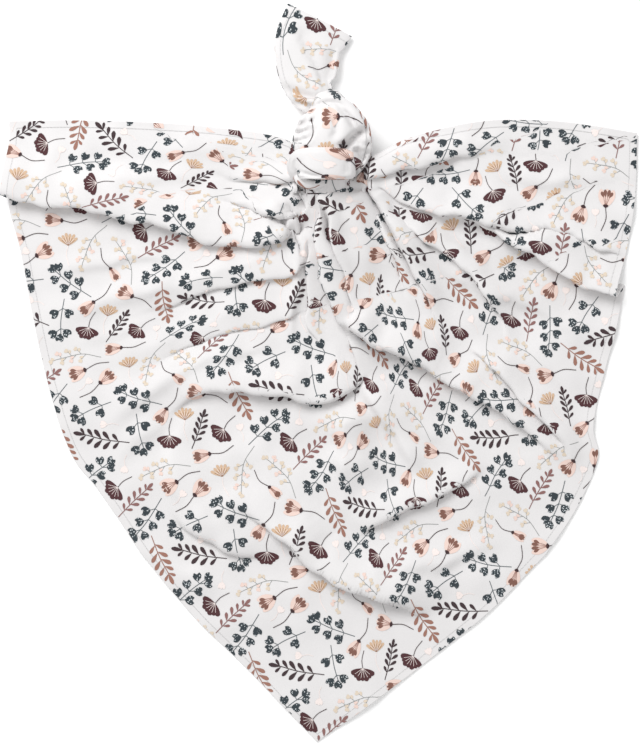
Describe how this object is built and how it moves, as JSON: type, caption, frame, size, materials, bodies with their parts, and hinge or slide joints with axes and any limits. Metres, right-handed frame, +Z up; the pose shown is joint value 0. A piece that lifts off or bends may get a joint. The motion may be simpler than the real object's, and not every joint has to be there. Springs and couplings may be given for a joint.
{
  "type": "knotted square flannel baby cloth",
  "caption": "Square printed flannel baby cloth with one corner tied in an overhand knot, the rest fanned out flat in folds.",
  "frame": {"origin": "on the surface under the middle of the laid out cloth", "axes": "+X to the right and +Y from the bottom corner toward the knot and its tail, both as seen from above, +Z up off the surface"},
  "size_m": [0.6784, 0.7888, 0.0617],
  "materials": {
    "printed_flannel": "matt"
  },
  "bodies": {
    "root": {"cloth": "printed_flannel"}
  },
  "joints": []
}
